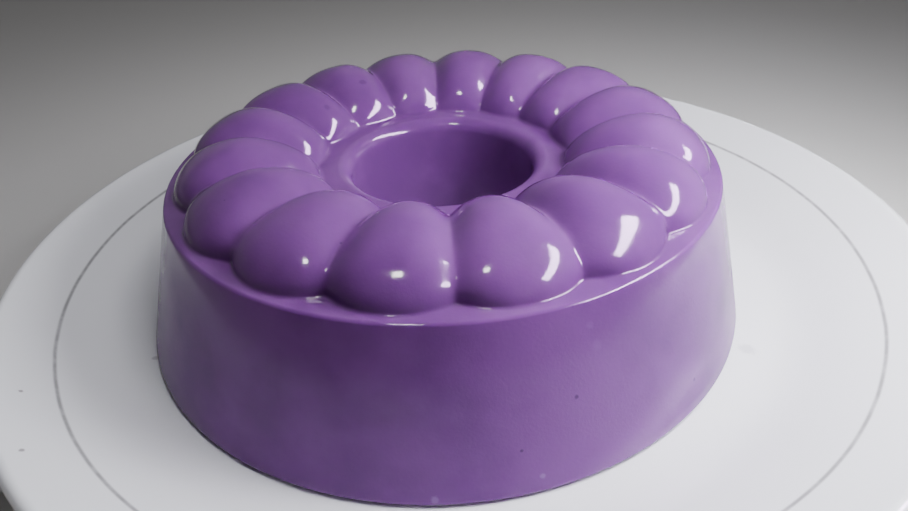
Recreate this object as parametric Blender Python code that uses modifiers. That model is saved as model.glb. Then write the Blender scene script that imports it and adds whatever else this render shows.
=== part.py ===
"""Sweet potato pudding: a fluted ring turned out of its mould, standing on its plate.

Metres, +Z up. The origin is the centre of the plate's foot, on the surface that the plate stands on.
"""

import math

import bmesh
import bpy
from mathutils import Vector

# The plate
PLATE_R = 0.135
PLATE_THICK = 0.0042
FLOOR_Z = 0.0075
WELL_R = 0.092
BEND_R = 0.106
RISE_SLOPE = 0.52
LIP_ROUND = 0.0021
FOOT_OUTER_R = 0.0885
FOOT_INNER_R = 0.0825
FOOT_TAPER = 0.0012
PLATE_STEPS = 80
BEND_STEPS = 5
LIP_STEPS = 6

# The pudding's body, measured from its own axis and its own base
BASE_R = 0.0896
SHELF_R = 0.0777
SHELF_Z = 0.0421
BASE_ROUND = 0.0014
SHELF_ROUND = 0.0018
LEAN_X = 0.00125
PUDDING_X = -0.0064
PUDDING_Y = -0.0025
TOUCH_GAP = 0.0003

# The ring of lobes on top
LOBES = 16
COLUMNS_PER_LOBE = 8
FIRST_VALLEY = math.radians(0.45)
RIDGE_R = 0.0560
CREST_Z = 0.0548
VALLEY_DEPTH = 0.0053
VALLEY_POWER = 2.3
FOOT_R = 0.0752
FOOT_CORNER = 0.0043
FOOT_CORNER_POWER = 2.2
FOOT_FILLET = 0.0007
INNER_FOOT_R = 0.0354
INNER_FILLET = 0.0015
OUTER_FULLNESS = 1.75
OUTER_FULLNESS_VALLEY = 2.4
INNER_FULLNESS = 1.76
INNER_FULLNESS_VALLEY = 1.58
LOBE_STEPS = 6

# The collar and the hole in the middle
COLLAR_Z = 0.0410
COLLAR_TOP_Z = 0.0416
HOLE_R = 0.0265
HOLE_BASE_R = 0.0250
HOLE_ROUND = 0.0040


def arc(centre_r, centre_z, radius, start_deg, end_deg, steps):
    """Points of an arc in the (radius, height) plane, both ends included."""
    points = []
    for step in range(steps + 1):
        turn = math.radians(start_deg + (end_deg - start_deg) * step / steps)
        points.append((centre_r + radius * math.cos(turn), centre_z + radius * math.sin(turn)))
    return points


def make_material(name, colour, roughness, metallic):
    """A plain material with the part's own colour."""
    material = bpy.data.materials.new(name)
    material.use_nodes = True
    shader = material.node_tree.nodes["Principled BSDF"]
    shader.inputs["Base Color"].default_value = (*colour, 1.0)
    shader.inputs["Roughness"].default_value = roughness
    shader.inputs["Metallic"].default_value = metallic
    material.diffuse_color = (*colour, 1.0)
    return material


def plate_top(radius):
    """Height of the plate's upper face: a flat floor, a bend, then a straight rise to the rim."""
    bend = BEND_R - WELL_R
    if radius <= WELL_R:
        return FLOOR_Z
    if radius <= BEND_R:
        return FLOOR_Z + RISE_SLOPE * (radius - WELL_R) ** 2 / (2 * bend)
    return FLOOR_Z + RISE_SLOPE * (bend / 2 + radius - BEND_R)


def plate_profile():
    """The plate's half section, from the middle of its floor over the rim to the middle of its underside."""
    tilt = math.degrees(math.atan(RISE_SLOPE))
    bend_radii = [WELL_R + (BEND_R - WELL_R) * step / BEND_STEPS for step in range(BEND_STEPS + 1)]
    top = [(0.0, FLOOR_Z)] + [(radius, plate_top(radius)) for radius in bend_radii]

    # The lip is a half round as thick as the wall, square to the rising wall
    half = PLATE_THICK / 2
    lip_r = PLATE_R - LIP_ROUND
    lip_z = plate_top(lip_r) - half
    lip = arc(lip_r, lip_z, LIP_ROUND, 90 + tilt, tilt - 90, LIP_STEPS)

    # The underside follows the upper face down to the foot
    drop = PLATE_THICK * math.sqrt(1 + RISE_SLOPE**2)
    under = [(BEND_R + 0.001, plate_top(BEND_R) - drop)]
    under.append((WELL_R + 0.005, FLOOR_Z - PLATE_THICK))
    under.append((FOOT_OUTER_R + FOOT_TAPER, FLOOR_Z - PLATE_THICK))
    under.append((FOOT_OUTER_R, 0.0))
    under.append((FOOT_INNER_R, 0.0))
    under.append((FOOT_INNER_R - FOOT_TAPER, FLOOR_Z - PLATE_THICK))
    under.append((0.0, FLOOR_Z - PLATE_THICK))
    return top + lip + under


def make_plate(material):
    """The white plate, turned from its half section."""
    profile = plate_profile()
    mesh = bpy.data.meshes.new("plate")
    points = [(radius, 0.0, height) for radius, height in profile]
    edges = [(index, index + 1) for index in range(len(points) - 1)]
    mesh.from_pydata(points, edges, [])
    plate = bpy.data.objects.new("plate", mesh)
    turn = plate.modifiers.new("turn", "SCREW")
    turn.axis = "Z"
    turn.steps = PLATE_STEPS
    turn.render_steps = PLATE_STEPS
    turn.use_merge_vertices = True
    turn.merge_threshold = 0.00001
    turn.use_smooth_shade = True
    mesh.materials.append(material)
    return plate


def wall_radius(height, inset):
    """Radius of the leaning wall at a height, for a line that runs a distance inside it."""
    slope = (BASE_R - SHELF_R) / SHELF_Z
    return BASE_R - slope * height - inset * math.sqrt(1 + slope**2)


def body_outline():
    """The outer side from the base's edge up the wall to the shelf's rounded edge."""
    lean = math.degrees(math.atan2(BASE_R - SHELF_R, SHELF_Z))
    base_edge = arc(wall_radius(BASE_ROUND, BASE_ROUND), BASE_ROUND, BASE_ROUND, -90, lean, 2)
    corner_z = SHELF_Z - SHELF_ROUND
    shelf_edge = arc(wall_radius(corner_z, SHELF_ROUND), corner_z, SHELF_ROUND, lean, 90, 4)
    return base_edge + shelf_edge


def lobe_side(foot_r, ground_z, peak_z, fullness, fillet):
    """One side of a lobe, from the ground beside its foot, over a small fillet, up to its ridge.

    The face is a quarter of a superellipse: a fullness of 2 is an ellipse, and less is flatter.
    """
    reach = foot_r - RIDGE_R
    rise = peak_z - ground_z
    low = math.asin((fillet / rise) ** (fullness / 2))
    face = []
    for step in range(LOBE_STEPS + 1):
        turn = low + (math.pi / 2 - low) * step / LOBE_STEPS
        across = max(0.0, math.cos(turn)) ** (2 / fullness)
        up = math.sin(turn) ** (2 / fullness)
        face.append((RIDGE_R + reach * across, ground_z + rise * up))

    # The fillet is a short curve that the foot's corner pulls inwards
    ground_r = foot_r + math.copysign(fillet, reach)
    middle_r = 0.25 * ground_r + 0.5 * foot_r + 0.25 * face[0][0]
    middle_z = 0.75 * ground_z + 0.25 * face[0][1]
    return [(ground_r, ground_z), (middle_r, middle_z)] + face


def lobe_outline(share):
    """Across the top from the outer foot over the ridge to the inner foot.

    share is 0 along the middle of a lobe and 1 along the valley beside it.
    """
    peak_z = CREST_Z - VALLEY_DEPTH * share**VALLEY_POWER
    foot_r = FOOT_R - FOOT_CORNER * share**FOOT_CORNER_POWER
    outer_fullness = OUTER_FULLNESS + (OUTER_FULLNESS_VALLEY - OUTER_FULLNESS) * share**2
    inner_fullness = INNER_FULLNESS + (INNER_FULLNESS_VALLEY - INNER_FULLNESS) * share**2
    outer = lobe_side(foot_r, SHELF_Z, peak_z, outer_fullness, FOOT_FILLET)
    inner = lobe_side(INNER_FOOT_R, COLLAR_Z, peak_z, inner_fullness, INNER_FILLET)
    return outer + inner[-2::-1]


def hole_outline():
    """The collar's rounded rim and the hole's wall, down to the base."""
    corner_z = COLLAR_TOP_Z - HOLE_ROUND
    rim = arc(HOLE_R + HOLE_ROUND, corner_z, HOLE_ROUND, 90, 180, 4)
    return rim + [(HOLE_BASE_R, 0.0)]


def pudding_section(share):
    """One whole radial section of the pudding, as a closed ring of (radius, height) points."""
    return body_outline() + lobe_outline(share) + hole_outline()


def make_pudding(material):
    """The pudding, lofted round its axis through sections that swell and sink with the lobes."""
    columns = LOBES * COLUMNS_PER_LOBE
    shape = bmesh.new()
    rings = []
    for column in range(columns):
        angle = FIRST_VALLEY + 2 * math.pi * column / columns
        share = abs(2 * (column % COLUMNS_PER_LOBE) / COLUMNS_PER_LOBE - 1)
        ring = []
        for radius, height in pudding_section(share):
            lean = LEAN_X * height / SHELF_Z
            place = Vector((radius * math.cos(angle) + lean, radius * math.sin(angle), height))
            ring.append(shape.verts.new(place))
        rings.append(ring)
    rows = len(rings[0])
    for column in range(columns):
        here = rings[column]
        there = rings[(column + 1) % columns]
        for row in range(rows):
            above = (row + 1) % rows
            shape.faces.new((here[row], there[row], there[above], here[above]))
    bmesh.ops.recalc_face_normals(shape, faces=shape.faces)

    mesh = bpy.data.meshes.new("pudding")
    shape.to_mesh(mesh)
    shape.free()
    mesh.shade_smooth()
    mesh.set_sharp_from_angle(angle=math.radians(35))
    mesh.materials.append(material)
    pudding = bpy.data.objects.new("pudding", mesh)
    pudding.location = (PUDDING_X, PUDDING_Y, FLOOR_Z + TOUCH_GAP)
    return pudding


def main():
    for old in list(bpy.data.objects):
        bpy.data.objects.remove(old)

    parts = bpy.data.collections.new("sweet_potato_pudding")
    bpy.context.scene.collection.children.link(parts)

    purple = make_material("purple_pudding", (0.20, 0.088, 0.32), 0.22, 0.0)
    glaze = make_material("white_glaze", (0.79, 0.79, 0.82), 0.12, 0.0)
    parts.objects.link(make_plate(glaze))
    parts.objects.link(make_pudding(purple))


main()
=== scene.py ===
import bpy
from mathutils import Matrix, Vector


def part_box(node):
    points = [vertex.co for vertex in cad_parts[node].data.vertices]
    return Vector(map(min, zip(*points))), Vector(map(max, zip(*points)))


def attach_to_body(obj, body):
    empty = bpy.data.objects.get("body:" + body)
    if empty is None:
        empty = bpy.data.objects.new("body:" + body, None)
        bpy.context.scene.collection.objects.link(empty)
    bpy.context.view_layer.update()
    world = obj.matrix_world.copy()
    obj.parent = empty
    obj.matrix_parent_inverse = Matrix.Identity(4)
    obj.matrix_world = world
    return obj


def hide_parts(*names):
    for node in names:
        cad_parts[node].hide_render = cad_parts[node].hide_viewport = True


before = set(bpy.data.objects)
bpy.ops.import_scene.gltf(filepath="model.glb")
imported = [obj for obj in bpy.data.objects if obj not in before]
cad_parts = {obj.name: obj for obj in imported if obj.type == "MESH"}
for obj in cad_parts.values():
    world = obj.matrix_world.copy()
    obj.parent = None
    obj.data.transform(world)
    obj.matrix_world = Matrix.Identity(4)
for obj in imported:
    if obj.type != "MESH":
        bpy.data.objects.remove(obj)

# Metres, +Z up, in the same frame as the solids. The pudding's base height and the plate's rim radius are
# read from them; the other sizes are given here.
"""Looks of a sweet potato pudding: a glossy purple ring with a fluted top, on a white plate.

Metres, +Z up, in the same frame as the solids. Every size that the solids fix is read from them.
"""

import logging
import math
from dataclasses import dataclass, field
from enum import Enum

import bmesh
import bpy
from mathutils import Matrix, Vector

LOG = logging.getLogger("pudding")
BODY = "root"
NOISE_MIDDLE = 0.5
SOFT_DETAIL = 2.0
FINE_DETAIL = 3.0

Point = tuple[float, float]
Range = tuple[float, float]
Place = tuple[float, float, float]
Colour = tuple[float, float, float]


class Node(Enum):
    """The solids that the fine pieces stand for."""

    PUDDING = "pudding"
    PLATE = "plate"


class Slot(Enum):
    """The record's material slots."""

    PUDDING = "purple_pudding"
    GLAZE = "white_glaze"


class Socket(Enum):
    """The kinds of socket that a node group here may have."""

    VALUE = "NodeSocketFloat"
    WHOLE = "NodeSocketInt"
    VECTOR = "NodeSocketVector"
    COLOUR = "NodeSocketColor"
    SHAPE = "NodeSocketGeometry"
    FINISH = "NodeSocketMaterial"


class Task(Enum):
    """What a lamp is for: soft light on the surfaces, or the shine that they mirror."""

    FILL = "fill"
    GLINT = "glint"


def arc(centre: Point, radius: float, start_deg: float, end_deg: float, steps: int) -> list[Point]:
    """Points of an arc in the (radius, height) plane.

    Args:
        centre: The arc's centre.
        radius: The arc's radius.
        start_deg: Direction of the first point from the centre, in degrees.
        end_deg: Direction of the last point.
        steps: Number of chords.

    Returns:
        The points, both ends included.
    """
    turns = [math.radians(start_deg + (end_deg - start_deg) * step / steps) for step in range(steps + 1)]
    return [(centre[0] + radius * math.cos(turn), centre[1] + radius * math.sin(turn)) for turn in turns]


def straight(start: Point, end: Point, steps: int) -> list[Point]:
    """Points between two points, without either of them.

    Args:
        start: The point before the first.
        end: The point after the last.
        steps: Number of equal stretches from start to end.

    Returns:
        The points in between, in order.
    """
    shares = [step / steps for step in range(1, steps)]
    return [(start[0] + (end[0] - start[0]) * s, start[1] + (end[1] - start[1]) * s) for s in shares]


def fillet(before: Point, corner: Point, after: Point, steps: int) -> list[Point]:
    """A rounded corner, as a quadratic curve.

    Args:
        before: Where the curve leaves the first side.
        corner: The sharp corner that it rounds.
        after: Where it meets the second side.
        steps: Number of chords.

    Returns:
        The curve's points, both ends included.
    """
    points = []
    for step in range(steps + 1):
        s = step / steps
        pull = (1 - s) ** 2, 2 * s * (1 - s), s * s
        points.append(
            (
                pull[0] * before[0] + pull[1] * corner[0] + pull[2] * after[0],
                pull[0] * before[1] + pull[1] * corner[1] + pull[2] * after[1],
            )
        )
    return points


def smooth_step(low: float, high: float, value: float) -> float:
    """0 below low, 1 above high, and an even ease between.

    Args:
        low: Value at and below which the result is 0.
        high: Value at and above which the result is 1.
        value: The value to place.

    Returns:
        A share from 0 to 1.
    """
    share = min(1.0, max(0.0, (value - low) / (high - low)))
    return share * share * (3 - 2 * share)


def add_object(name: str, mesh: bpy.types.Mesh) -> bpy.types.Object:
    """Links a mesh to the scene as an object at the origin.

    Args:
        name: The object's name.
        mesh: Its mesh.

    Returns:
        The new object.
    """
    made = bpy.data.objects.new(name, mesh)
    bpy.context.scene.collection.objects.link(made)
    return made


def settle(made: bpy.types.Object) -> None:
    """Turns what an object's modifiers make into its plain mesh, and takes the modifiers off.

    Args:
        made: The object to settle.
    """
    bpy.context.view_layer.update()
    graph = bpy.context.evaluated_depsgraph_get()
    plain = bpy.data.meshes.new_from_object(made.evaluated_get(graph), depsgraph=graph)
    made.modifiers.clear()
    old = made.data
    made.data = plain
    bpy.data.meshes.remove(old)


def attach(made: bpy.types.Object, node: Node | None = None) -> None:
    """Fixes a finished piece to the frame and reports it.

    Args:
        made: The finished piece.
        node: The solid that it stands for, if any.
    """
    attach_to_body(made, BODY)
    if node is not None:
        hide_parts(node.value)
    made.data.calc_loop_triangles()
    LOG.info("%s: %d triangles", made.name, len(made.data.loop_triangles))


class Tree:
    """A node tree with short calls for adding, setting and linking nodes."""

    def __init__(self, tree: bpy.types.NodeTree) -> None:
        """Wraps a tree.

        Args:
            tree: The tree that the calls work on.
        """
        self.tree = tree

    def add(self, kind: str, settings: dict | None = None, **inputs: object) -> bpy.types.Node:
        """Adds a node, sets its properties, and links or sets its inputs.

        Args:
            kind: The node's type name.
            settings: Properties of the node itself.
            **inputs: Input name, with _ for a space or i and a number for a place, to a socket or a value.

        Returns:
            The new node.
        """
        node = self.tree.nodes.new(kind)
        for key, value in (settings or {}).items():
            setattr(node, key, value)
        for key, value in inputs.items():
            self.feed(self.pick(node, key), value)
        return node

    @staticmethod
    def pick(node: bpy.types.Node, key: str) -> bpy.types.NodeSocket:
        """Finds an input by its place, as in i0, or by its name with _ for each space.

        Args:
            node: The node to look on.
            key: The input's place or name.

        Returns:
            The enabled input socket.
        """
        if key[0] == "i" and key[1:].isdigit():
            return node.inputs[int(key[1:])]
        wanted = key.replace("_", " ")
        return next(s for s in node.inputs if s.name == wanted and s.enabled)

    def feed(self, socket: bpy.types.NodeSocket, value: object) -> None:
        """Links a socket from another, or sets its constant.

        Args:
            socket: The input socket.
            value: An output socket or a constant.
        """
        if isinstance(value, bpy.types.NodeSocket):
            self.tree.links.new(value, socket)
        else:
            socket.default_value = value

    def math(
        self, operation: str, first: object, second: object = 0.0, third: object = 0.0
    ) -> bpy.types.NodeSocket:
        """Adds a Math node.

        Args:
            operation: Blender's name of the operation.
            first: First socket or number.
            second: Second socket or number.
            third: Third socket or number.

        Returns:
            The result's socket.
        """
        node = self.tree.nodes.new("ShaderNodeMath")
        node.operation = operation
        for socket, value in zip(node.inputs, (first, second, third)):
            self.feed(socket, value)
        return node.outputs[0]

    def ease(
        self, value: object, low: object, high: object, start: object = 0.0, end: object = 1.0
    ) -> bpy.types.NodeSocket:
        """Maps a value smoothly from one range to another, held at both ends.

        Args:
            value: The socket to map.
            low: Value that gives start.
            high: Value that gives end.
            start: Result at and before low.
            end: Result at and past high.

        Returns:
            The result's socket.
        """
        node = self.tree.nodes.new("ShaderNodeMapRange")
        node.interpolation_type = "SMOOTHSTEP"
        for socket, given in zip(node.inputs, (value, low, high, start, end)):
            self.feed(socket, given)
        return node.outputs[0]

    def blend(self, share: object, first: object, second: object) -> bpy.types.NodeSocket:
        """Mixes two colours. A Mix node's colours are its inputs 6 and 7 and its output 2.

        Args:
            share: How much of the second, from 0 to 1.
            first: Colour socket or constant.
            second: Colour socket or constant.

        Returns:
            The mixed colour's socket.
        """
        node = self.tree.nodes.new("ShaderNodeMix")
        node.data_type = "RGBA"
        self.feed(node.inputs[0], share)
        self.feed(node.inputs[6], first)
        self.feed(node.inputs[7], second)
        return node.outputs[2]


def new_group(
    name: str, kind: str, inputs: dict[str, Socket], outputs: dict[str, Socket]
) -> bpy.types.NodeTree:
    """Makes a node group with named sockets.

    Args:
        name: The group's name.
        kind: ShaderNodeTree or GeometryNodeTree.
        inputs: Input name to its kind.
        outputs: Output name to its kind.

    Returns:
        The empty group.
    """
    group = bpy.data.node_groups.new(name, kind)
    for label, socket in inputs.items():
        group.interface.new_socket(label, in_out="INPUT", socket_type=socket.value)
    for label, socket in outputs.items():
        group.interface.new_socket(label, in_out="OUTPUT", socket_type=socket.value)
    return group


def rgba(colour: Colour) -> tuple[float, float, float, float]:
    """A colour with full opacity."""
    return (*colour, 1.0)


@dataclass(frozen=True)
class Mark:
    """One small spot of another colour at a place on a surface; some are stains or scuffs, and some are
    painted shade in pits.
    """

    place: Place
    radius: float
    strength: float
    colour: Colour


@dataclass(frozen=True)
class SharedEffects:
    """Surface effects that both finishes use, each as one shader node group."""

    cell_jitter: float = 1.0
    least_speck: float = 0.35
    speck_core: float = 0.45
    mark_waver: float = 900.0
    mark_core: float = 0.4

    def spot(self) -> bpy.types.NodeTree:
        """One soft uneven spot.

        Returns:
            A group whose Mask is 1 at the Centre and 0 past about one Radius.
        """
        found = bpy.data.node_groups.get("uneven_spot")
        if found:
            return found
        sockets = {"Vector": Socket.VECTOR, "Centre": Socket.VECTOR, "Radius": Socket.VALUE}
        group = new_group("uneven_spot", "ShaderNodeTree", sockets, {"Mask": Socket.VALUE})
        tree = Tree(group)
        given = tree.add("NodeGroupInput").outputs
        distance = {"operation": "DISTANCE"}
        place = given["Vector"]
        off = tree.add("ShaderNodeVectorMath", distance, i0=place, i1=given["Centre"])
        waver = tree.add("ShaderNodeTexNoise", Vector=place, Scale=self.mark_waver, Detail=SOFT_DETAIL)
        reach = tree.math("MULTIPLY", off.outputs["Value"], tree.math("ADD", waver.outputs[0], NOISE_MIDDLE))
        core = tree.math("MULTIPLY", given["Radius"], self.mark_core)
        tree.add("NodeGroupOutput", Mask=tree.ease(reach, given["Radius"], core))
        return group

    def add_marks(
        self, tree: Tree, place: bpy.types.NodeSocket, tone: object, marks: tuple[Mark, ...]
    ) -> object:
        """Lays small marks over a colour.

        Args:
            tree: The material's tree.
            place: Object coordinates.
            tone: The colour under the marks.
            marks: The marks to lay.

        Returns:
            The colour with the marks on it.
        """
        for mark in marks:
            spot = tree.add("ShaderNodeGroup", {"node_tree": self.spot()}, Vector=place)
            spot.inputs["Centre"].default_value = mark.place
            spot.inputs["Radius"].default_value = mark.radius
            share = tree.math("MULTIPLY", spot.outputs["Mask"], mark.strength)
            tone = tree.blend(share, tone, rgba(mark.colour))
        return tone

    def specks(self) -> bpy.types.NodeTree:
        """Scattered round specks.

        Returns:
            A group whose Mask is 1 in a speck. Share is how many cells hold one.
        """
        found = bpy.data.node_groups.get("specks")
        if found:
            return found
        sockets = {"Vector": Socket.VECTOR}
        sockets |= {"Scale": Socket.VALUE, "Size": Socket.VALUE, "Share": Socket.VALUE}
        group = new_group("specks", "ShaderNodeTree", sockets, {"Mask": Socket.VALUE})
        tree = Tree(group)
        given = tree.add("NodeGroupInput").outputs
        cells = tree.add("ShaderNodeTexVoronoi", Vector=given["Vector"], Scale=given["Scale"])
        cells.inputs["Randomness"].default_value = self.cell_jitter
        pick = tree.add("ShaderNodeSeparateColor", Color=cells.outputs["Color"])
        chosen = tree.math("LESS_THAN", pick.outputs[0], given["Share"])
        size = tree.math("MULTIPLY", given["Size"], tree.math("ADD", pick.outputs[1], self.least_speck))
        core = tree.math("MULTIPLY", size, self.speck_core)
        inside = tree.ease(cells.outputs["Distance"], size, core)
        tree.add("NodeGroupOutput", Mask=tree.math("MULTIPLY", chosen, inside))
        return group

    def ripple(self) -> bpy.types.NodeTree:
        """Fine uneven relief of a set or glazed surface.

        Returns:
            A group whose Height runs from 0 to 1.
        """
        found = bpy.data.node_groups.get("fine_ripple")
        if found:
            return found
        sockets = {"Vector": Socket.VECTOR}
        sockets |= {"Broad": Socket.VALUE, "Fine": Socket.VALUE, "Mix": Socket.VALUE}
        group = new_group("fine_ripple", "ShaderNodeTree", sockets, {"Height": Socket.VALUE})
        tree = Tree(group)
        given = tree.add("NodeGroupInput").outputs
        place = given["Vector"]
        broad = tree.add("ShaderNodeTexNoise", Vector=place, Scale=given["Broad"], Detail=SOFT_DETAIL)
        fine = tree.add("ShaderNodeTexNoise", Vector=place, Scale=given["Fine"], Detail=FINE_DETAIL)
        part = tree.math("MULTIPLY", fine.outputs[0], given["Mix"])
        rest = tree.math("MULTIPLY", broad.outputs[0], tree.math("SUBTRACT", 1.0, given["Mix"]))
        tree.add("NodeGroupOutput", Height=tree.math("ADD", part, rest))
        return group


@dataclass(frozen=True)
class PuddingFinish:
    """Moist set pudding: opaque purple with a little light let in, and a wet shine."""

    deep: Colour = (0.113, 0.033, 0.159)
    light: Colour = (0.152, 0.049, 0.207)
    # Painted shade for the small pits in the pudding's surface.
    shaded_pit: Colour = (0.045, 0.010, 0.070)
    patch_scale: float = 30.0
    patch_range: Range = (0.35, 0.65)
    patch_detail: float = 4.0
    patch_contrast: float = 0.55
    roughness: float = 0.13
    dull_scale: float = 90.0
    dull_range: Range = (0.35, 0.7)
    dull_spread: Range = (0.85, 1.3)
    crease_roughness: float = 0.07
    wall_dullness: float = 0.095
    glow: float = 0.6
    glow_depth: float = 0.004
    glow_spread: Colour = (1.0, 0.45, 1.2)
    refraction: float = 1.36
    sheen_level: float = 0.24
    film: float = 0.48
    wall_film: float = 0.03
    film_low: float = 0.040
    film_high: float = 0.0505
    dull_low: float = 0.020
    film_roughness: float = 0.05
    pit_scale: float = 210.0
    pit_size: float = 0.12
    pit_share: float = 0.05
    pit_shade_strength: float = 0.6
    pit_sink: float = 0.8
    ripple_broad: float = 260.0
    ripple_fine: float = 1300.0
    ripple_mix: float = 0.6
    relief_strength: float = 0.6
    relief: float = 0.00010
    marks: tuple[Mark, ...] = (
        # The first two marks are painted shade in two small pits on the lower front wall.
        Mark((0.0200, -0.0820, 0.0291), 0.0007, 0.75, (0.030, 0.008, 0.045)),
        Mark((0.0076, -0.0876, 0.0198), 0.0006, 0.75, (0.030, 0.008, 0.045)),
        Mark((-0.0295, 0.0357, 0.0599), 0.0017, 0.45, (0.050, 0.012, 0.070)),
        Mark((-0.0400, 0.0202, 0.0579), 0.0014, 0.40, (0.050, 0.012, 0.070)),
        Mark((-0.0116, -0.0913, 0.0102), 0.0012, 0.40, (0.300, 0.170, 0.380)),
        Mark((0.0122, -0.0888, 0.0126), 0.0009, 0.40, (0.300, 0.170, 0.380)),
        Mark((0.0229, -0.0766, 0.0442), 0.0012, 0.14, (0.260, 0.110, 0.360)),
        Mark((0.0246, -0.0774, 0.0393), 0.0016, 0.12, (0.260, 0.110, 0.360)),
    )

    def material(self, effects: SharedEffects) -> bpy.types.Material:
        """Builds the material.

        Args:
            effects: The shared node groups.

        Returns:
            The finished material.
        """
        made = bpy.data.materials.new("moist_purple_pudding")
        made.use_nodes = True
        tree = Tree(made.node_tree)
        shader = made.node_tree.nodes["Principled BSDF"]
        place = tree.add("ShaderNodeTexCoord").outputs["Object"]

        patches = tree.add("ShaderNodeTexNoise", Vector=place, Scale=self.patch_scale)
        patches.inputs["Detail"].default_value = self.patch_detail
        patches.inputs["Roughness"].default_value = self.patch_contrast
        lighter = tree.ease(patches.outputs[0], *self.patch_range)
        tone = tree.blend(lighter, rgba(self.deep), rgba(self.light))
        # Small sunken pits: the bump sinks them, and their colour is darkened with painted shade.
        pits = tree.add("ShaderNodeGroup", {"node_tree": effects.specks()}, Vector=place)
        pits.inputs["Scale"].default_value = self.pit_scale
        pits.inputs["Size"].default_value = self.pit_size
        pits.inputs["Share"].default_value = self.pit_share
        shaded_pit = pits.outputs["Mask"]
        pit_shaded = tree.blend(tree.math("MULTIPLY", shaded_pit, self.pit_shade_strength), tone, rgba(self.shaded_pit))
        tree.feed(shader.inputs["Base Color"], effects.add_marks(tree, place, pit_shaded, self.marks))

        wet = tree.add("ShaderNodeAttribute", {"attribute_name": "crease"}).outputs["Fac"]
        dull = tree.add("ShaderNodeTexNoise", Vector=place, Scale=self.dull_scale, Detail=SOFT_DETAIL)
        least, most = (self.roughness * spread for spread in self.dull_spread)
        matt = tree.ease(dull.outputs[0], *self.dull_range, least, most)
        dry = tree.math("MULTIPLY", matt, tree.math("SUBTRACT", 1.0, wet))
        rough = tree.math("ADD", dry, tree.math("MULTIPLY", wet, self.crease_roughness))
        height = tree.add("ShaderNodeSeparateXYZ", Vector=place).outputs[2]
        top = tree.ease(height, self.film_low, self.film_high)
        wall = tree.ease(height, self.film_high, self.dull_low)
        satin = tree.math("MULTIPLY_ADD", wall, self.wall_dullness, rough)
        tree.feed(shader.inputs["Roughness"], satin)

        ripple = tree.add("ShaderNodeGroup", {"node_tree": effects.ripple()}, Vector=place)
        ripple.inputs["Broad"].default_value = self.ripple_broad
        ripple.inputs["Fine"].default_value = self.ripple_fine
        ripple.inputs["Mix"].default_value = self.ripple_mix
        relief = tree.math("SUBTRACT", ripple.outputs["Height"], tree.math("MULTIPLY", shaded_pit, self.pit_sink))
        bump = tree.add("ShaderNodeBump", Height=relief, Strength=self.relief_strength, Distance=self.relief)
        tree.feed(shader.inputs["Normal"], bump.outputs[0])

        shader.inputs["IOR"].default_value = self.refraction
        shader.inputs["Specular IOR Level"].default_value = self.sheen_level
        shader.inputs["Subsurface Weight"].default_value = self.glow
        shader.inputs["Subsurface Radius"].default_value = self.glow_spread
        shader.inputs["Subsurface Scale"].default_value = self.glow_depth
        film = tree.math("MULTIPLY_ADD", top, self.film - self.wall_film, self.wall_film)
        tree.feed(shader.inputs["Coat Weight"], film)
        shader.inputs["Coat Roughness"].default_value = self.film_roughness
        return made


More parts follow.
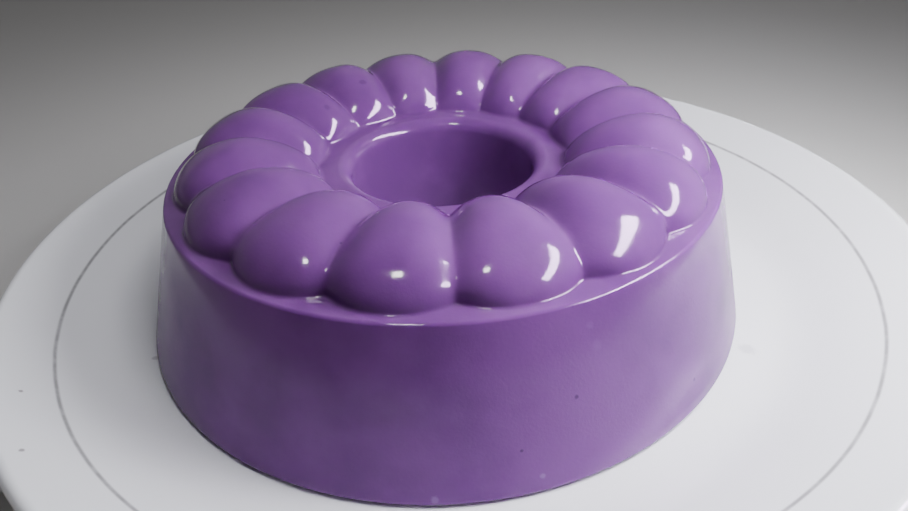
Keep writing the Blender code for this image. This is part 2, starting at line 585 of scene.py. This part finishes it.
@dataclass(frozen=True)
class GlazeFinish:
    """White glazed porcelain with one thin grey ring line under the glaze."""

    white: Colour = (0.80, 0.80, 0.82)
    shade: Colour = (0.77, 0.77, 0.79)
    line: Colour = (0.115, 0.105, 0.105)
    line_r: float = 0.1194
    line_half: float = 0.00040
    line_edge: float = 0.00030
    line_waver: float = 0.7
    line_waver_scale: float = 60.0
    ink_scale: float = 220.0
    ink_range: Range = (0.25, 0.6)
    ink: Range = (0.52, 0.72)
    cloud_scale: float = 22.0
    cloud_range: Range = (0.3, 0.7)
    pin_scale: float = 85.0
    pin_size: float = 0.045
    pin_share: float = 0.07
    pin_strength: float = 0.35
    roughness: float = 0.20
    smear_scale: float = 35.0
    smear_range: Range = (0.4, 0.7)
    smear_spread: float = 1.3
    refraction: float = 1.52
    glaze: float = 0.15
    glaze_roughness: float = 0.10
    ripple_broad: float = 40.0
    ripple_fine: float = 400.0
    ripple_mix: float = 0.12
    relief_strength: float = 0.5
    relief: float = 0.00002
    marks: tuple[Mark, ...] = (
        Mark((0.0751, -0.0475, 0.0075), 0.0028, 0.38, (0.400, 0.380, 0.420)),
        Mark((-0.1001, -0.0811, 0.0230), 0.0008, 0.70, (0.160, 0.140, 0.140)),
        Mark((-0.1105, -0.0610, 0.0216), 0.0007, 0.70, (0.160, 0.140, 0.140)),
        Mark((-0.0900, -0.0361, 0.0080), 0.0012, 0.40, (0.200, 0.160, 0.220)),
    )

    def material(self, effects: SharedEffects) -> bpy.types.Material:
        """Builds the material.

        Args:
            effects: The shared node groups.

        Returns:
            The finished material.
        """
        made = bpy.data.materials.new("white_glazed_porcelain")
        made.use_nodes = True
        tree = Tree(made.node_tree)
        shader = made.node_tree.nodes["Principled BSDF"]
        place = tree.add("ShaderNodeTexCoord").outputs["Object"]

        cloud = tree.add("ShaderNodeTexNoise", Vector=place, Scale=self.cloud_scale, Detail=FINE_DETAIL)
        whiter = tree.ease(cloud.outputs[0], *self.cloud_range)
        body = tree.blend(whiter, rgba(self.shade), rgba(self.white))

        flat = tree.add("ShaderNodeVectorMath", {"operation": "MULTIPLY"}, i0=place, i1=(1.0, 1.0, 0.0))
        length = tree.add("ShaderNodeVectorMath", {"operation": "LENGTH"}, i0=flat.outputs[0])
        radius = length.outputs["Value"]
        waver = tree.add("ShaderNodeTexNoise", Vector=place, Scale=self.line_waver_scale, Detail=SOFT_DETAIL)
        swing = self.line_half * self.line_waver
        drift = tree.math("MULTIPLY", tree.math("SUBTRACT", waver.outputs[0], NOISE_MIDDLE), swing)
        off = tree.math("ABSOLUTE", tree.math("SUBTRACT", tree.math("ADD", radius, drift), self.line_r))
        outer = self.line_half + self.line_edge
        band = tree.ease(off, outer, self.line_half - self.line_edge)
        thin = tree.add("ShaderNodeTexNoise", Vector=place, Scale=self.ink_scale, Detail=FINE_DETAIL)
        ink = tree.math("MULTIPLY", band, tree.ease(thin.outputs[0], *self.ink_range, *self.ink))
        drawn = tree.blend(ink, body, rgba(self.line))

        pins = tree.add("ShaderNodeGroup", {"node_tree": effects.specks()}, Vector=place)
        pins.inputs["Scale"].default_value = self.pin_scale
        pins.inputs["Size"].default_value = self.pin_size
        pins.inputs["Share"].default_value = self.pin_share
        dot = tree.math("MULTIPLY", pins.outputs["Mask"], self.pin_strength)
        dotted = tree.blend(dot, drawn, rgba(self.line))
        tree.feed(shader.inputs["Base Color"], effects.add_marks(tree, place, dotted, self.marks))

        smear = tree.add("ShaderNodeTexNoise", Vector=place, Scale=self.smear_scale, Detail=FINE_DETAIL)
        most = self.roughness * self.smear_spread
        rough = tree.ease(smear.outputs[0], *self.smear_range, self.roughness, most)
        tree.feed(shader.inputs["Roughness"], rough)
        ripple = tree.add("ShaderNodeGroup", {"node_tree": effects.ripple()}, Vector=place)
        ripple.inputs["Broad"].default_value = self.ripple_broad
        ripple.inputs["Fine"].default_value = self.ripple_fine
        ripple.inputs["Mix"].default_value = self.ripple_mix
        bump = tree.add("ShaderNodeBump", Height=ripple.outputs["Height"], Distance=self.relief)
        bump.inputs["Strength"].default_value = self.relief_strength
        tree.feed(shader.inputs["Normal"], bump.outputs[0])

        shader.inputs["IOR"].default_value = self.refraction
        shader.inputs["Coat Weight"].default_value = self.glaze
        shader.inputs["Coat Roughness"].default_value = self.glaze_roughness
        return made


@dataclass(frozen=True)
class RingSection:
    """Half section of the pudding, which swells and sinks with the lobes round its top."""

    base_r: float = 0.0896
    shelf_r: float = 0.0777
    shelf_z: float = 0.0421
    base_round: float = 0.0014
    shelf_round: float = 0.0010
    ridge_r: float = 0.0560
    crest_z: float = 0.0548
    valley_depth: float = 0.0053
    valley_power: float = 2.3
    foot_r: float = 0.0752
    foot_corner: float = 0.0043
    foot_corner_power: float = 2.2
    foot_fillet: float = 0.0009
    inner_foot_r: float = 0.0354
    inner_corner: float = 0.0015
    inner_fillet: float = 0.0013
    outer_fullness: float = 1.75
    outer_fullness_valley: float = 2.4
    inner_fullness: float = 1.76
    inner_fullness_valley: float = 1.58
    collar_z: float = 0.0410
    collar_top_z: float = 0.0416
    hole_r: float = 0.0265
    hole_base_r: float = 0.0250
    hole_round: float = 0.0040
    base_steps: int = 4
    underside_steps: int = 4
    wall_steps: int = 14
    lobe_steps: int = 18
    fillet_steps: int = 6
    round_steps: int = 8

    def wall_radius(self, height: float, inset: float) -> float:
        """Radius of the leaning wall at a height, for a line some distance inside it."""
        slope = (self.base_r - self.shelf_r) / self.shelf_z
        return self.base_r - slope * height - inset * math.sqrt(1 + slope**2)

    def side(self) -> list[Point]:
        """The outer side, from the rounded base edge up the wall and round onto the shelf.

        Returns:
            The points, from the bottom up.
        """
        lean = math.degrees(math.atan2(self.base_r - self.shelf_r, self.shelf_z))
        low = (self.wall_radius(self.base_round, self.base_round), self.base_round)
        high_z = self.shelf_z - self.shelf_round
        high = (self.wall_radius(high_z, self.shelf_round), high_z)
        bottom = arc(low, self.base_round, -90, lean, self.base_steps)
        top = arc(high, self.shelf_round, lean, 90, self.round_steps)
        return bottom + straight(bottom[-1], top[0], self.wall_steps) + top

    def lobe_side(self, foot: Point, peak_z: float, fullness: float, rounding: float) -> list[Point]:
        """One side of a lobe, from the ground beside its foot, over a fillet, up to its ridge.

        Args:
            foot: The sharp corner where the lobe would meet the shelf or the collar.
            peak_z: The ridge's height.
            fullness: The superellipse's exponent: 2 is an ellipse, and less is flatter.
            rounding: How far the fillet reaches along the ground and up the lobe's face.

        Returns:
            Points from the ground to the ridge.
        """
        rise = peak_z - foot[1]
        reach = foot[0] - self.ridge_r
        first = math.asin((rounding / rise) ** (fullness / 2))
        face = []
        for step in range(self.lobe_steps + 1):
            turn = first + (math.pi / 2 - first) * step / self.lobe_steps
            across = max(0.0, math.cos(turn)) ** (2 / fullness)
            face.append((self.ridge_r + reach * across, foot[1] + rise * math.sin(turn) ** (2 / fullness)))
        ground = (foot[0] + math.copysign(rounding, reach), foot[1])
        return fillet(ground, foot, face[0], self.fillet_steps)[:-1] + face

    def lobe(self, share: float) -> list[Point]:
        """Across the top, from the outer foot over the ridge to the inner foot.

        Args:
            share: 0 along the middle of a lobe, 1 along the valley beside it.

        Returns:
            Points from the shelf to the collar.
        """
        peak_z = self.crest_z - self.valley_depth * share**self.valley_power
        foot_r = self.foot_r - self.foot_corner * share**self.foot_corner_power
        outer_full = self.outer_fullness + (self.outer_fullness_valley - self.outer_fullness) * share**2
        inner_full = self.inner_fullness + (self.inner_fullness_valley - self.inner_fullness) * share**2
        outer = self.lobe_side((foot_r, self.shelf_z), peak_z, outer_full, self.foot_fillet)
        inner_foot_r = self.inner_foot_r + self.inner_corner * share**self.foot_corner_power
        inner = self.lobe_side((inner_foot_r, self.collar_z), peak_z, inner_full, self.inner_fillet)
        return outer + inner[-2::-1]

    def hole(self) -> list[Point]:
        """The collar's rounded rim, the hole's wall and the flat underside.

        Returns:
            The points, from the collar down and out to the base's edge.
        """
        corner_z = self.collar_top_z - self.hole_round
        rim = arc((self.hole_r + self.hole_round, corner_z), self.hole_round, 90, 180, self.round_steps)
        low = (self.hole_base_r, 0.0)
        edge = (self.wall_radius(self.base_round, self.base_round), 0.0)
        wall = straight(rim[-1], low, self.round_steps)
        return rim + wall + [low] + straight(low, edge, self.underside_steps)

    def outline(self, share: float) -> list[Point]:
        """The whole closed section at a place across a lobe."""
        return self.side() + self.lobe(share) + self.hole()


@dataclass
class FlutedPudding:
    """The pudding: one lobe's slice, repeated round the ring, then made a little uneven."""

    finish: bpy.types.Material
    section: RingSection = field(default_factory=RingSection)
    lobes: int = 16
    columns: int = 28
    crowding: float = 1.5
    crease_round: float = 0.075
    first_valley: float = math.radians(0.45)
    lean: float = 0.00125
    place_x: float = -0.0064
    place_y: float = -0.0025
    unevenness: float = 0.00030
    crease_ripple: float = 0.00030
    crease_reach: float = 0.16
    crease_fade: float = 0.001
    edge_share: float = 0.45
    edge_reach: float = 0.002
    broad_scale: float = 38.0
    crease_scale: float = 420.0
    held_below: float = 0.0005
    free_above: float = 0.004
    merge_gap: float = 0.000004
    seed: int = 7

    def shares(self) -> list[float]:
        """Places across one lobe, closer together towards the valleys.

        Returns:
            Shares from -1 at one valley to 1 at the other.
        """
        places = []
        for column in range(self.columns + 1):
            across = 2 * column / self.columns - 1
            places.append(math.copysign(1 - (1 - abs(across)) ** self.crowding, across))
        return places

    def slice_mesh(self) -> bpy.types.Mesh:
        """One lobe's slice of the ring, open at both valleys.

        Returns:
            The mesh, with a crease attribute that is 1 in the valleys and along the feet of the lobes.
        """
        half_turn = math.pi / self.lobes
        base = math.sqrt(1 + self.crease_round**2) - 1
        shape = bmesh.new()
        crease = shape.verts.layers.float.new("crease")
        rings = []
        for across in self.shares():
            angle = (1 + across) * half_turn
            gap = 1 - abs(across)
            share = 1 - (math.sqrt(gap**2 + self.crease_round**2) - base)
            ring = []
            for radius, height in self.section.outline(max(0.0, share)):
                vertex = shape.verts.new((radius * math.cos(angle), radius * math.sin(angle), height))
                vertex[crease] = self.crease_at(radius, height, gap)
                ring.append(vertex)
            rings.append(ring)
        for here, there in zip(rings, rings[1:]):
            for row in range(len(here)):
                above = (row + 1) % len(here)
                shape.faces.new((here[row], there[row], there[above], here[above]))
        mesh = bpy.data.meshes.new("pudding_slice")
        shape.to_mesh(mesh)
        shape.free()
        return mesh

    def crease_at(self, radius: float, height: float, gap: float) -> float:
        """How far a point is in a crease of the top.

        Args:
            radius: Distance from the ring's axis.
            height: Height over the base.
            gap: 0 in a valley, 1 on a crest.

        Returns:
            1 in a valley or at a lobe's foot, less along the shelf's edge, 0 away from them.
        """
        section = self.section
        shelf_z = section.shelf_z
        if radius > section.shelf_r - 2 * section.shelf_round:
            return self.edge_share * smooth_step(shelf_z - self.edge_reach, shelf_z, height)
        if not section.inner_foot_r < radius < section.foot_r + section.foot_fillet:
            return 0.0
        over = smooth_step(shelf_z - self.crease_fade, shelf_z, height)
        valley = 1 - smooth_step(0.0, self.crease_reach, gap)
        foot = 1 - smooth_step(0.0, 2 * section.foot_fillet, height - shelf_z)
        return over * max(valley, foot)

    def ring_tree(self) -> bpy.types.NodeTree:
        """The tree that repeats the slice round the ring, leans it and makes it uneven.

        Returns:
            The geometry node group.
        """
        inputs = {
            "Slice": Socket.SHAPE,
            "Lobes": Socket.WHOLE,
            "First Valley": Socket.VALUE,
            "Lean": Socket.VALUE,
            "Unevenness": Socket.VALUE,
            "Broad Scale": Socket.VALUE,
            "Crease Ripple": Socket.VALUE,
            "Crease Scale": Socket.VALUE,
            "Seed": Socket.VALUE,
            "Place": Socket.VECTOR,
            "Finish": Socket.FINISH,
        }
        group = new_group("fluted_ring", "GeometryNodeTree", inputs, {"Ring": Socket.SHAPE})
        tree = Tree(group)
        given = tree.add("NodeGroupInput").outputs
        spots = tree.add("GeometryNodePoints", Count=given["Lobes"])
        step = tree.math("DIVIDE", 2 * math.pi, given["Lobes"])
        index = tree.add("GeometryNodeInputIndex").outputs[0]
        turn = tree.math("MULTIPLY_ADD", index, step, given["First Valley"])
        spin = tree.add("ShaderNodeCombineXYZ", Z=turn)
        rotation = tree.add("FunctionNodeEulerToRotation", Euler=spin.outputs[0])
        copies = tree.add("GeometryNodeInstanceOnPoints", Points=spots.outputs[0], Instance=given["Slice"])
        tree.feed(Tree.pick(copies, "Rotation"), rotation.outputs[0])
        real = tree.add("GeometryNodeRealizeInstances", Geometry=copies.outputs[0])
        closed = tree.add("GeometryNodeMergeByDistance", Geometry=real.outputs[0], Distance=self.merge_gap)

        position = tree.add("GeometryNodeInputPosition").outputs[0]
        height = tree.add("ShaderNodeSeparateXYZ", Vector=position).outputs[2]
        shear = tree.add("ShaderNodeCombineXYZ", X=tree.math("MULTIPLY", height, given["Lean"]))
        leaned = tree.add("GeometryNodeSetPosition", Geometry=closed.outputs[0], Offset=shear.outputs[0])

        seeded = {"noise_dimensions": "4D"}
        seed = given["Seed"]
        broad_scale = given["Broad Scale"]
        broad = tree.add("ShaderNodeTexNoise", seeded, Vector=position, W=seed, Scale=broad_scale)
        near_scale = given["Crease Scale"]
        near = tree.add("ShaderNodeTexNoise", seeded, Vector=position, W=seed, Scale=near_scale)
        lift = tree.math("SUBTRACT", broad.outputs[0], NOISE_MIDDLE)
        lift = tree.math("MULTIPLY", lift, given["Unevenness"])
        free = tree.ease(height, self.held_below, self.free_above)
        wave = tree.math("SUBTRACT", near.outputs[0], NOISE_MIDDLE)
        wave = tree.math("MULTIPLY", wave, given["Crease Ripple"])
        crease = tree.add("GeometryNodeInputNamedAttribute", {"data_type": "FLOAT"}, Name="crease")
        total = tree.math("MULTIPLY_ADD", wave, crease.outputs[0], tree.math("MULTIPLY", lift, free))
        normal = tree.add("GeometryNodeInputNormal").outputs[0]
        push = tree.add("ShaderNodeVectorMath", {"operation": "SCALE"}, i0=normal, Scale=total)
        uneven = tree.add("GeometryNodeSetPosition", Geometry=leaned.outputs[0], Offset=push.outputs[0])

        smooth = tree.add("GeometryNodeSetShadeSmooth", Geometry=uneven.outputs[0])
        placed = tree.add("GeometryNodeTransform", Geometry=smooth.outputs[0], Translation=given["Place"])
        whole = tree.add("GeometryNodeRealizeInstances", Geometry=placed.outputs[0])
        done = tree.add("GeometryNodeSetMaterial", Geometry=whole.outputs[0], Material=given["Finish"])
        tree.add("NodeGroupOutput", Ring=done.outputs[0])
        return group

    def build(self) -> bpy.types.Object:
        """Builds the pudding on the plate.

        Returns:
            The finished piece, with its place in its mesh.
        """
        base_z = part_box(Node.PUDDING.value)[0].z
        made = add_object("pudding_ring", self.slice_mesh())
        group = self.ring_tree()
        ring = made.modifiers.new("ring", "NODES")
        ring.node_group = group
        values = {
            "Lobes": self.lobes,
            "First Valley": self.first_valley,
            "Lean": self.lean / self.section.shelf_z,
            "Unevenness": self.unevenness,
            "Broad Scale": self.broad_scale,
            "Crease Ripple": self.crease_ripple,
            "Crease Scale": self.crease_scale,
            "Seed": float(self.seed),
            "Place": (self.place_x, self.place_y, base_z),
            "Finish": self.finish,
        }
        for item in group.interface.items_tree:
            if item.item_type == "SOCKET" and item.name in values:
                ring[item.identifier] = values[item.name]
        settle(made)
        attach(made, Node.PUDDING)
        return made


@dataclass
class ServingPlate:
    """The round white plate: flat floor, rising side, rounded lip and foot ring."""

    finish: bpy.types.Material
    thickness: float = 0.0042
    floor_z: float = 0.0075
    well_r: float = 0.092
    bend_r: float = 0.106
    rise_slope: float = 0.52
    lip_round: float = 0.0021
    foot_outer_r: float = 0.0885
    foot_inner_r: float = 0.0825
    foot_taper: float = 0.0012
    foot_round: float = 0.0006
    knee_start: float = 0.001
    knee_pull_r: float = 0.008
    knee_pull_z: float = 0.0004
    knee_end: float = 0.002
    sharp_angle: float = math.radians(50)
    merge_gap: float = 0.00001
    floor_steps: int = 8
    bend_steps: int = 12
    rise_steps: int = 10
    lip_steps: int = 14
    under_steps: int = 8
    turn_steps: int = 288

    def top(self, radius: float) -> float:
        """Height of the upper face: flat, then a bend, then a straight rise to the rim.

        Args:
            radius: Distance from the plate's axis.

        Returns:
            The height over what the plate stands on.
        """
        bend = self.bend_r - self.well_r
        if radius <= self.well_r:
            return self.floor_z
        if radius <= self.bend_r:
            return self.floor_z + self.rise_slope * (radius - self.well_r) ** 2 / (2 * bend)
        return self.floor_z + self.rise_slope * (bend / 2 + radius - self.bend_r)

    def profile(self) -> list[Point]:
        """The half section, from the middle of the floor over the rim to the middle of the underside.

        Returns:
            The points, in order.
        """
        rim_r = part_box(Node.PLATE.value)[1].x
        tilt = math.degrees(math.atan(self.rise_slope))
        floor = [(self.well_r * step / self.floor_steps, self.floor_z) for step in range(self.floor_steps)]
        bend = self.bend_r - self.well_r
        radii = [self.well_r + bend * step / self.bend_steps for step in range(self.bend_steps + 1)]
        lip_r = rim_r - self.lip_round
        radii += [radius for radius, _ in straight((self.bend_r, 0.0), (lip_r, 0.0), self.rise_steps)]
        face = floor + [(radius, self.top(radius)) for radius in radii]
        lip_centre = (lip_r, self.top(lip_r) - self.thickness / 2)
        lip = arc(lip_centre, self.lip_round, 90 + tilt, tilt - 90, self.lip_steps)
        drop = self.thickness * math.sqrt(1 + self.rise_slope**2)
        flat_z = self.floor_z - self.thickness
        knee = (self.bend_r + self.knee_start, self.top(self.bend_r) - drop)
        knee_pull = (self.well_r + self.knee_pull_r, flat_z + self.knee_pull_z)
        under = straight(lip[-1], knee, self.under_steps)
        under += fillet(knee, knee_pull, (self.well_r + self.knee_end, flat_z), self.under_steps)
        foot = [
            (self.foot_outer_r + self.foot_taper, flat_z),
            (self.foot_outer_r + self.foot_round, self.foot_round),
            (self.foot_outer_r, 0.0),
            (self.foot_inner_r, 0.0),
            (self.foot_inner_r - self.foot_round, self.foot_round),
            (self.foot_inner_r - self.foot_taper, flat_z),
        ]
        return face + lip + under + foot + [(0.0, flat_z)]

    def build(self) -> bpy.types.Object:
        """Turns the half section into the plate.

        Returns:
            The finished piece.
        """
        points = self.profile()
        mesh = bpy.data.meshes.new("plate_profile")
        edges = [(index, index + 1) for index in range(len(points) - 1)]
        mesh.from_pydata([(radius, 0.0, height) for radius, height in points], edges, [])
        made = add_object("serving_plate", mesh)
        turn = made.modifiers.new("turn", "SCREW")
        turn.axis = "Z"
        turn.steps = self.turn_steps
        turn.render_steps = self.turn_steps
        turn.use_merge_vertices = True
        turn.merge_threshold = self.merge_gap
        settle(made)
        made.data.materials.append(self.finish)
        made.data.shade_smooth()
        made.data.set_sharp_from_angle(angle=self.sharp_angle)
        attach(made, Node.PLATE)
        return made


@dataclass(frozen=True)
class Lamp:
    """One area light, aimed at the pudding."""

    name: str
    task: Task
    place: Place
    aim: Place
    size: tuple[float, float]
    power: float
    colour: Colour
    along: Place = (1.0, 0.0, 0.0)

    def build(self) -> None:
        """Adds the light, its first size running along the given direction."""
        data = bpy.data.lights.new(self.name, "AREA")
        data.shape = "RECTANGLE"
        data.size, data.size_y = self.size
        data.energy = self.power
        data.color = self.colour
        light = bpy.data.objects.new(self.name, data)
        bpy.context.scene.collection.objects.link(light)
        back = (Vector(self.place) - Vector(self.aim)).normalized()
        across = back.cross(Vector(self.along)).normalized()
        turn = Matrix((across.cross(back), across, back)).transposed()
        light.matrix_world = Matrix.Translation(self.place) @ turn.to_4x4()
        light.visible_diffuse = self.task is Task.FILL
        light.visible_glossy = self.task is Task.GLINT


@dataclass
class Studio:
    """Pale floor, soft light and the camera at the photograph's viewing angle."""

    floor_half: float = 3.0
    floor_tone: Colour = (0.64, 0.62, 0.60)
    floor_roughness: float = 0.9
    floor_sheen: float = 0.0
    sky_tone: Colour = (0.97, 0.98, 1.0)
    sky_strength: float = 0.215
    dim_way: Place = (-0.35, -0.80, 0.45)
    dim_edge: float = 0.05
    dim_core: float = 0.80
    dim_share: float = 0.10
    eye: Place = (-0.0068, -0.18472, 0.13556)
    pitch: float = math.radians(33.647)
    yaw: float = math.radians(1.187)
    roll: float = math.radians(-2.865)
    focal_pixels: float = 679.7
    frame_pixels: float = 908.0
    sensor: float = 36.0
    near_clip: float = 0.01
    lamps: tuple[Lamp, ...] = (
        Lamp(
            name="window",
            task=Task.GLINT,
            place=(0.73, -0.245, 0.60),
            aim=(0.03, -0.062, 0.057),
            size=(0.92, 0.20),
            power=58.0,
            colour=(0.86, 0.60, 1.0),
            along=(0.06, 0.96, 0.27),
        ),
        Lamp(
            name="bulb",
            task=Task.GLINT,
            place=(-0.33, -0.68, 1.41),
            aim=(0.0, 0.0, 0.05),
            size=(0.19, 0.19),
            power=8.5,
            colour=(1.0, 0.98, 0.95),
        ),
        Lamp(
            name="side",
            task=Task.FILL,
            place=(0.128, -0.072, 0.150),
            aim=(0.04, -0.02, 0.04),
            size=(0.09, 0.09),
            power=0.88,
            colour=(0.92, 0.93, 1.0),
        ),
        Lamp(
            name="above",
            task=Task.FILL,
            place=(0.055, -0.08, 0.30),
            aim=(0.0, 0.0, 0.03),
            size=(0.12, 0.12),
            power=0.66,
            colour=(0.94, 0.95, 1.0),
        ),
    )

    def build_floor(self) -> None:
        """Lays the plain floor, which isn't part of the object."""
        half = self.floor_half
        mesh = bpy.data.meshes.new("floor")
        corners = [(-half, -half, 0.0), (half, -half, 0.0), (half, half, 0.0), (-half, half, 0.0)]
        mesh.from_pydata(corners, [], [(0, 1, 2, 3)])
        finish = bpy.data.materials.new("pale_floor")
        finish.use_nodes = True
        shader = finish.node_tree.nodes["Principled BSDF"]
        shader.inputs["Base Color"].default_value = rgba(self.floor_tone)
        shader.inputs["Roughness"].default_value = self.floor_roughness
        shader.inputs["Specular IOR Level"].default_value = self.floor_sheen
        mesh.materials.append(finish)
        add_object("floor", mesh)

    def build_sky(self) -> None:
        """Sets the soft light from all round, weaker from the side where the viewer stands."""
        world = bpy.data.worlds.new("soft_room")
        world.use_nodes = True
        tree = Tree(world.node_tree)
        back = world.node_tree.nodes["Background"]
        back.inputs["Color"].default_value = rgba(self.sky_tone)
        ahead = tree.add("ShaderNodeTexCoord").outputs["Generated"]
        dim_way = tuple(Vector(self.dim_way).normalized())
        dot = tree.add("ShaderNodeVectorMath", {"operation": "DOT_PRODUCT"}, i0=ahead, i1=dim_way)
        near = dot.outputs["Value"]
        dimmed = self.sky_strength * self.dim_share
        strength = tree.ease(near, self.dim_edge, self.dim_core, self.sky_strength, dimmed)
        tree.feed(back.inputs["Strength"], strength)
        bpy.context.scene.world = world

    def build_camera(self) -> None:
        """Places the camera as the photograph was taken."""
        ahead = Vector(
            (
                math.sin(self.yaw) * math.cos(self.pitch),
                math.cos(self.yaw) * math.cos(self.pitch),
                -math.sin(self.pitch),
            )
        )
        right = ahead.cross(Vector((0.0, 0.0, 1.0))).normalized()
        above = right.cross(ahead)
        side = right * math.cos(self.roll) + above * math.sin(self.roll)
        up = above * math.cos(self.roll) - right * math.sin(self.roll)
        turn = Matrix((side, up, -ahead)).transposed()
        data = bpy.data.cameras.new("camera")
        data.sensor_width = self.sensor
        data.lens = self.focal_pixels / self.frame_pixels * self.sensor
        data.clip_start = self.near_clip
        camera = bpy.data.objects.new("camera", data)
        bpy.context.scene.collection.objects.link(camera)
        camera.matrix_world = Matrix.Translation(self.eye) @ turn.to_4x4()
        bpy.context.scene.camera = camera

    def build(self) -> None:
        """Builds the whole stage."""
        self.build_floor()
        self.build_sky()
        self.build_camera()
        for lamp in self.lamps:
            lamp.build()


def main() -> None:
    """Builds the pieces in order."""
    logging.basicConfig(level=logging.INFO, format="%(name)s: %(message)s")
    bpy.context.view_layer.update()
    effects = SharedEffects()
    Studio().build()
    ServingPlate(GlazeFinish().material(effects)).build()
    FlutedPudding(PuddingFinish().material(effects)).build()


if __name__ == "__main__":
    main()
